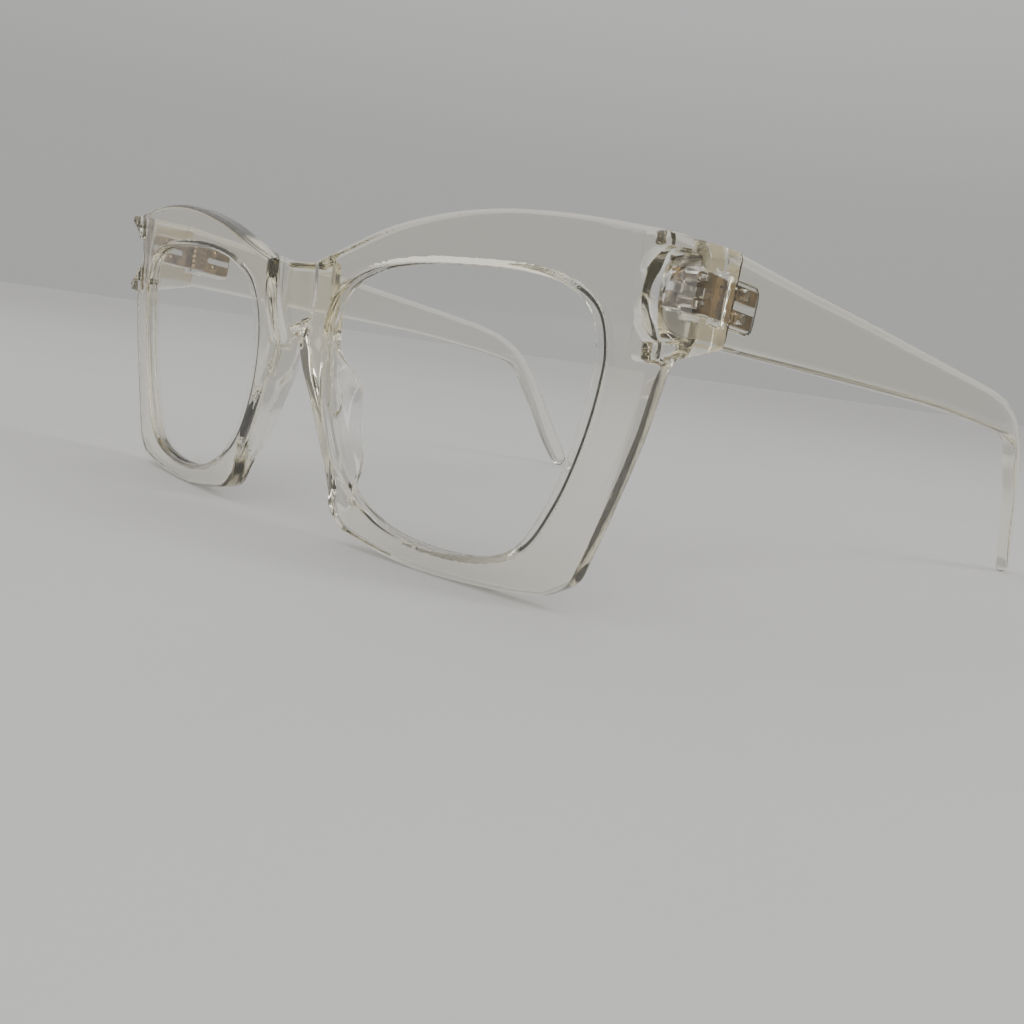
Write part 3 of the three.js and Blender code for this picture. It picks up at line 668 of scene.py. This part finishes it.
def blend(tree, factor, colour_a, colour_b):
    """Mixes two colours; each is given as numbers or as a node's output."""
    mix = tree.nodes.new("ShaderNodeMix")
    mix.data_type = "RGBA"
    inputs = [socket for socket in mix.inputs if socket.enabled]
    tree.links.new(factor, inputs[0])
    for socket, colour in zip(inputs[1:], (colour_a, colour_b)):
        if isinstance(colour, tuple):
            socket.default_value = (*colour, 1)
        else:
            tree.links.new(colour, socket)
    return next(socket for socket in mix.outputs if socket.enabled)


def near(tree, value, middle, reach):
    """One where the value is within that reach of the middle, zero elsewhere."""
    test = tree.nodes.new("ShaderNodeMath")
    test.operation = "COMPARE"
    tree.links.new(value, test.inputs[0])
    test.inputs[1].default_value = middle
    test.inputs[2].default_value = reach
    return test.outputs["Value"]


def product(tree, first, second):
    times = tree.nodes.new("ShaderNodeMath")
    times.operation = "MULTIPLY"
    for socket, value in zip(times.inputs, (first, second)):
        if isinstance(value, float):
            socket.default_value = value
        else:
            tree.links.new(value, socket)
    return times.outputs["Value"]


def milled_mask(tree):
    """One on the milled inner wall of each endpiece, which carries the hinge, and zero elsewhere."""
    places = tree.nodes.new("ShaderNodeTexCoord")
    split = tree.nodes.new("ShaderNodeSeparateXYZ")
    tree.links.new(places.outputs["Object"], split.inputs["Vector"])
    across = tree.nodes.new("ShaderNodeMath")
    across.operation = "ABSOLUTE"
    tree.links.new(split.outputs["X"], across.inputs[0])
    on_wall = near(tree, across.outputs["Value"], BLOCK_INNER * MM, MILLED_DEPTH * MM)
    wall_middle = to_world @ Vector((BLOCK_INNER, MILLED_MIDDLE, HINGE[2]))
    behind_rim = near(tree, split.outputs["Y"], wall_middle.y, MILLED_REACH * MM)
    beside_hinge = near(tree, split.outputs["Z"], wall_middle.z, MILLED_HALF_HEIGHT * MM)
    return product(tree, product(tree, on_wall, behind_rim), beside_hinge)


def clear_plastic():
    material, tree, shader = nodes_of("clear_plastic")
    milled = milled_mask(tree)
    shader.inputs["Transmission Weight"].default_value = 0.97
    shader.inputs["IOR"].default_value = 1.48
    polished = blend(tree, noise(tree, 14.0), (1.0, 0.998, 0.99), (0.994, 0.99, 0.98))
    tree.links.new(blend(tree, milled, polished, MILLED_COLOUR), shader.inputs["Base Color"])
    rough = tree.nodes.new("ShaderNodeMath")
    rough.operation = "MAXIMUM"
    rough.use_clamp = True
    tree.links.new(noise(tree, 1.6, 5.0, 0.01, 0.035), rough.inputs[0])
    tree.links.new(product(tree, milled, MILLED_ROUGHNESS), rough.inputs[1])
    tree.links.new(rough.outputs["Value"], shader.inputs["Roughness"])
    tree.links.new(bump(tree, noise(tree, 5.0, 2.0), 0.004), shader.inputs["Normal"])
    volume = tree.nodes.new("ShaderNodeVolumeAbsorption")
    volume.inputs["Color"].default_value = (0.975, 0.91, 0.64, 1)
    volume.inputs["Density"].default_value = 75.0
    tree.links.new(volume.outputs["Volume"], tree.nodes["Material Output"].inputs["Volume"])
    return material


def lens_plastic():
    material, tree, shader = nodes_of("lens_plastic")
    shader.inputs["Transmission Weight"].default_value = 1.0
    shader.inputs["IOR"].default_value = 1.5
    tint = blend(tree, noise(tree, 20.0), (0.995, 0.998, 0.996), (0.985, 0.99, 0.988))
    tree.links.new(tint, shader.inputs["Base Color"])
    tree.links.new(noise(tree, 3.0, 4.0, 0.0, 0.012), shader.inputs["Roughness"])
    return material


def metal(name, light, dark, rough_low, rough_high):
    material, tree, shader = nodes_of(name)
    shader.inputs["Metallic"].default_value = 1.0
    tree.links.new(blend(tree, noise(tree, 2.5, 2.0), light, dark), shader.inputs["Base Color"])
    tree.links.new(noise(tree, 1.2, 2.0, rough_low, rough_high), shader.inputs["Roughness"])
    tree.links.new(bump(tree, noise(tree, 1.5, 2.0), 0.004), shader.inputs["Normal"])
    return material


CLEAR = clear_plastic()
LENS = lens_plastic()
METAL = metal("hinge_metal", (0.40, 0.285, 0.14), (0.14, 0.10, 0.052), 0.15, 0.24)
STEEL = metal("screw_steel", (0.75, 0.74, 0.70), (0.60, 0.58, 0.54), 0.14, 0.24)


# ---- Pieces -------------------------------------------------------------------------------------------

def add_piece(name, node, body, material, points, faces, normals=None, mirrored=False):
    """Makes a piece from points in the front's upright millimetres, for the left side or mirrored."""
    if mirrored:
        points = points * (-1, 1, 1)
        faces = [face[::-1] for face in faces] if isinstance(faces, list) else faces[:, ::-1]
        normals = None if normals is None else normals * (-1, 1, 1)
    mesh = bpy.data.meshes.new(name)
    mesh.from_pydata(points.tolist(), [], faces.tolist() if not isinstance(faces, list) else faces)
    mesh.transform(to_world)
    mesh.polygons.foreach_set("use_smooth", np.ones(len(mesh.polygons), bool))
    if normals is not None:
        world_normals = normals @ np.array(to_stand.to_3x3()).T
        mesh.normals_split_custom_set_from_vertices(world_normals.tolist())
    mesh.materials.append(material)
    mesh.update()
    piece = bpy.data.objects.new(name, mesh)
    bpy.context.scene.collection.objects.link(piece)
    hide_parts(node)
    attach(piece, body)
    return piece


def turned(vectors):
    """Directions about the hinge turned into the front's upright axes."""
    return from_hinge(vectors) - np.array(HINGE)


# Each shape's field, the low and high corners of its grid, and the grid's pitch.
FRONT_SHAPE = (front_field, (-73.0, -0.9, -0.9), (73.0, 21.4, 52.2), 0.325)
TEMPLE_SHAPE = (temple_field, (-1.0, -0.5, -33.6), (9.6, 132.4, 7.4), 0.33)
FRONT_LEAF = leaf_field(-1, FRONT_LEAF_LENGTH, FRONT_RIVET)
TEMPLE_LEAF = leaf_field(1, TEMPLE_LEAF_LENGTH, TEMPLE_RIVET)
metal_shapes = {
    "front_hinge_leaf": (FRONT_LEAF, (-2.0, -8.0, -2.9), (2.4, 2.0, 2.9), 0.1),
    "temple_hinge_leaf": (TEMPLE_LEAF, (-2.0, -2.0, -2.9), (2.4, 8.1, 2.9), 0.1),
    "hinge_screw": (screw_field, (-1.4, -1.4, -3.1), (1.4, 1.4, 3.4), 0.07),
}
RIVET_GRID_REACH = 1.2
for level, height in (("lower", -RIVET_HEIGHT), ("upper", RIVET_HEIGHT)):
    for part, place in (("front", -FRONT_RIVET), ("temple", TEMPLE_RIVET)):
        low_corner = (0.0, place - RIVET_GRID_REACH, height - RIVET_GRID_REACH)
        high_corner = (4.4, place + RIVET_GRID_REACH, height + RIVET_GRID_REACH)
        metal_shapes[f"{part}_rivet_{level}"] = (rivet_field(place, height), low_corner, high_corner, 0.08)

front_points, front_faces, front_normals = fitted(*FRONT_SHAPE)
temple_points, temple_faces, temple_normals = fitted(*TEMPLE_SHAPE)
metal_meshes = {name: fitted(*shape) for name, shape in metal_shapes.items()}

add_piece("clear_front", "front_frame", "front", CLEAR,
          front_points, front_faces, front_normals)

LENS_RINGS = [*np.linspace(0.08, 0.98, 13), 0.998, 1]       # shares of the way out to a flat face's edge
BEVEL_RINGS = [0.02, 0.5, 0.98, 1]                          # shares of the way out along the bevel


def lens_mesh():
    """A curved pane: rings from its middle to the bevelled edge, on the front and on the back."""
    rim = opening_curve[::2]
    centre = (rim.max(0) + rim.min(0)) / 2
    after, before = np.roll(rim, -1, 0), np.roll(rim, 1, 0)
    along = (after - before) / np.linalg.norm(after - before, axis=1)[:, None]
    outward = np.stack([along[:, 1], -along[:, 0]], 1)
    if ((rim - centre) * outward).sum() < 0:
        outward = -outward
    half = LENS_THICKNESS / 2
    run = LENS_BEVEL - BEVEL_SHORT
    rings = [(centre + (rim + outward * LENS_REACH - centre) * share, half) for share in LENS_RINGS]
    rings += [
        (rim + outward * (LENS_REACH + run * share), half * (1 - share) + LENS_EDGE * share)
        for share in BEVEL_RINGS
    ]
    levels = [(flat, -rise) for flat, rise in rings]
    levels += [(rim + outward * LENS_BEVEL, 0.0)]
    levels += [(flat, rise) for flat, rise in reversed(rings)]
    points = []
    for flat, rise in levels:
        radius = FRONT_RADIUS - FRONT_THICKNESS / 2 - rise
        depth = FRONT_RADIUS - np.sqrt(radius**2 - flat[:, 0] ** 2)
        points.append(np.stack([flat[:, 0], depth, flat[:, 1]], 1))
    size = len(rim)
    faces = []
    for ring in range(len(levels) - 1):
        for i in range(size):
            a, b = ring * size + i, ring * size + (i + 1) % size
            faces.append([a, b, b + size, a + size])
    points = np.vstack(points)
    for first, flip in ((0, False), ((len(levels) - 1) * size, True)):
        hub = len(points)
        points = np.vstack([points, points[first:first + size].mean(0)])
        for i in range(size):
            face = [hub, first + (i + 1) % size, first + i]
            faces.append(face[::-1] if flip else face)
    return points, faces


lens_points, lens_faces = lens_mesh()

for side, flip in (("left", False), ("right", True)):
    add_piece(f"lens_pane_{side}", f"lens_{side}", "front", LENS,
              lens_points, lens_faces, None, flip)
    add_piece(f"clear_temple_{side}", f"temple_{side}", f"temple_{side}", CLEAR,
              from_hinge(temple_points), temple_faces, turned(temple_normals), flip)
    for shape, (points, faces, normals) in metal_meshes.items():
        body = f"temple_{side}" if shape.startswith("temple") else "front"
        slot, material = ("screw_steel", STEEL) if shape == "hinge_screw" else ("hinge_metal", METAL)
        add_piece(f"metal_{shape}_{side}", f"{shape}_{side}", body, material,
                  from_hinge(points), faces, turned(normals), flip)


# ---- Stage --------------------------------------------------------------------------------------------

FLOOR_RADIUS = 6.0          # metres
FLOOR_SIDES = 48
FLOOR_DROP = 0.00005        # metres; keeps the floor's face clear of the glasses


def floor():
    mesh = bpy.data.meshes.new("floor")
    angles = np.linspace(0, 2 * math.pi, FLOOR_SIDES, endpoint=False)
    rim = [(math.cos(angle) * FLOOR_RADIUS, math.sin(angle) * FLOOR_RADIUS, 0) for angle in angles]
    mesh.from_pydata(rim, [], [list(range(FLOOR_SIDES))])
    material, tree, shader = nodes_of("pale_floor")
    tree.links.new(blend(tree, noise(tree, 60.0), (0.76, 0.755, 0.745), (0.74, 0.735, 0.73)),
                   shader.inputs["Base Color"])
    shader.inputs["Roughness"].default_value = 0.9
    mesh.materials.append(material)
    piece = bpy.data.objects.new("floor", mesh)
    piece.location.z = -FLOOR_DROP
    bpy.context.scene.collection.objects.link(piece)


def soft_light(name, place, target, size, power, colour=(1, 1, 1)):
    data = bpy.data.lights.new(name, "AREA")
    data.shape = "RECTANGLE"
    data.size, data.size_y = size
    data.energy = power
    data.color = colour
    lamp = bpy.data.objects.new(name, data)
    lamp.location = place
    lamp.rotation_euler = (Vector(target) - Vector(place)).to_track_quat("-Z", "Y").to_euler()
    bpy.context.scene.collection.objects.link(lamp)


# A dark patch of the surroundings, which draws thin dark lines on the plastic's walls: the direction of
# its middle, the cosines of the angles where it starts and where it is darkest, and the light left there.
FLAG_DIRECTION = (0.55, 0.72, 0.62)
FLAG_START = 0.84
FLAG_FULL = 0.94
FLAG_LIGHT = 0.22

# Light from below, and from above; and between them, by height from 0 at the lowest point to 1 overhead.
BELOW = (0.46, 0.455, 0.44, 1)
ABOVE = (0.78, 0.78, 0.77, 1)
LEVELS = ((0.5, 0.44), (0.58, 0.45), (0.72, 0.68), (0.85, 0.78))
GREEN_SHARE = 0.995
BLUE_SHARE = 0.98


def surroundings():
    world = bpy.data.worlds.new("studio")
    bpy.context.scene.world = world
    world.use_nodes = True
    tree = world.node_tree
    background = tree.nodes["Background"]
    places = tree.nodes.new("ShaderNodeTexCoord")
    split = tree.nodes.new("ShaderNodeSeparateXYZ")
    tree.links.new(places.outputs["Generated"], split.inputs["Vector"])
    ramp_node = tree.nodes.new("ShaderNodeValToRGB")
    stops = ramp_node.color_ramp.elements
    stops[0].position, stops[0].color = 0.0, BELOW
    stops[1].position, stops[1].color = 1.0, ABOVE
    for position, level in LEVELS:
        stop = stops.new(position)
        stop.color = (level, level * GREEN_SHARE, level * BLUE_SHARE, 1)
    half = tree.nodes.new("ShaderNodeMapRange")
    half.inputs["From Min"].default_value = -1.0
    tree.links.new(split.outputs["Z"], half.inputs["Value"])
    tree.links.new(half.outputs["Result"], ramp_node.inputs["Fac"])
    tree.links.new(ramp_node.outputs["Color"], background.inputs["Color"])
    toward_flag = tree.nodes.new("ShaderNodeVectorMath")
    toward_flag.operation = "DOT_PRODUCT"
    toward_flag.inputs[1].default_value = Vector(FLAG_DIRECTION).normalized()
    tree.links.new(places.outputs["Generated"], toward_flag.inputs[0])
    shade = tree.nodes.new("ShaderNodeMapRange")
    shade.interpolation_type = "SMOOTHSTEP"
    shade.inputs["From Min"].default_value = FLAG_START
    shade.inputs["From Max"].default_value = FLAG_FULL
    shade.inputs["To Min"].default_value = 1.0
    shade.inputs["To Max"].default_value = FLAG_LIGHT
    tree.links.new(toward_flag.outputs["Value"], shade.inputs["Value"])
    tree.links.new(shade.outputs["Result"], background.inputs["Strength"])


CAMERA_PLACE = (144.63, -93.90, 37.20)
CAMERA_TARGET = (54.36, 0.0, 12.9)
CAMERA_ROLL = math.radians(6.45)
CAMERA_LENS = 36.53


def camera():
    data = bpy.data.cameras.new("camera")
    data.lens = CAMERA_LENS
    data.sensor_width = 36.0
    data.clip_start = 0.005
    data.clip_end = 50.0
    eye = bpy.data.objects.new("camera", data)
    place, target = to_world @ Vector(CAMERA_PLACE), to_world @ Vector(CAMERA_TARGET)
    upright = to_stand.to_3x3()
    ahead = (target - place).normalized()
    right = ahead.cross(upright @ Vector((0, 0, 1))).normalized()
    up = right.cross(ahead)
    rolled_right = right * math.cos(CAMERA_ROLL) + up * math.sin(CAMERA_ROLL)
    rolled_up = up * math.cos(CAMERA_ROLL) - right * math.sin(CAMERA_ROLL)
    turn = Matrix((rolled_right, rolled_up, -ahead)).transposed()
    eye.matrix_world = Matrix.Translation(place) @ turn.to_4x4()
    bpy.context.scene.collection.objects.link(eye)
    bpy.context.scene.camera = eye


floor()
surroundings()
soft_light("window_above", (-0.5, -0.35, 0.8), (0, -0.02, 0.02), (1.1, 0.8), 1.1, (1.0, 0.99, 0.98))
soft_light("front_fill", (0.12, -1.1, 0.38), (0, -0.02, 0.03), (0.9, 0.5), 3.0)
soft_light("strip_right", (0.6, 0.25, 0.45), (0, 0, 0.03), (0.15, 0.6), 1.5, (0.98, 0.99, 1.0))
camera()
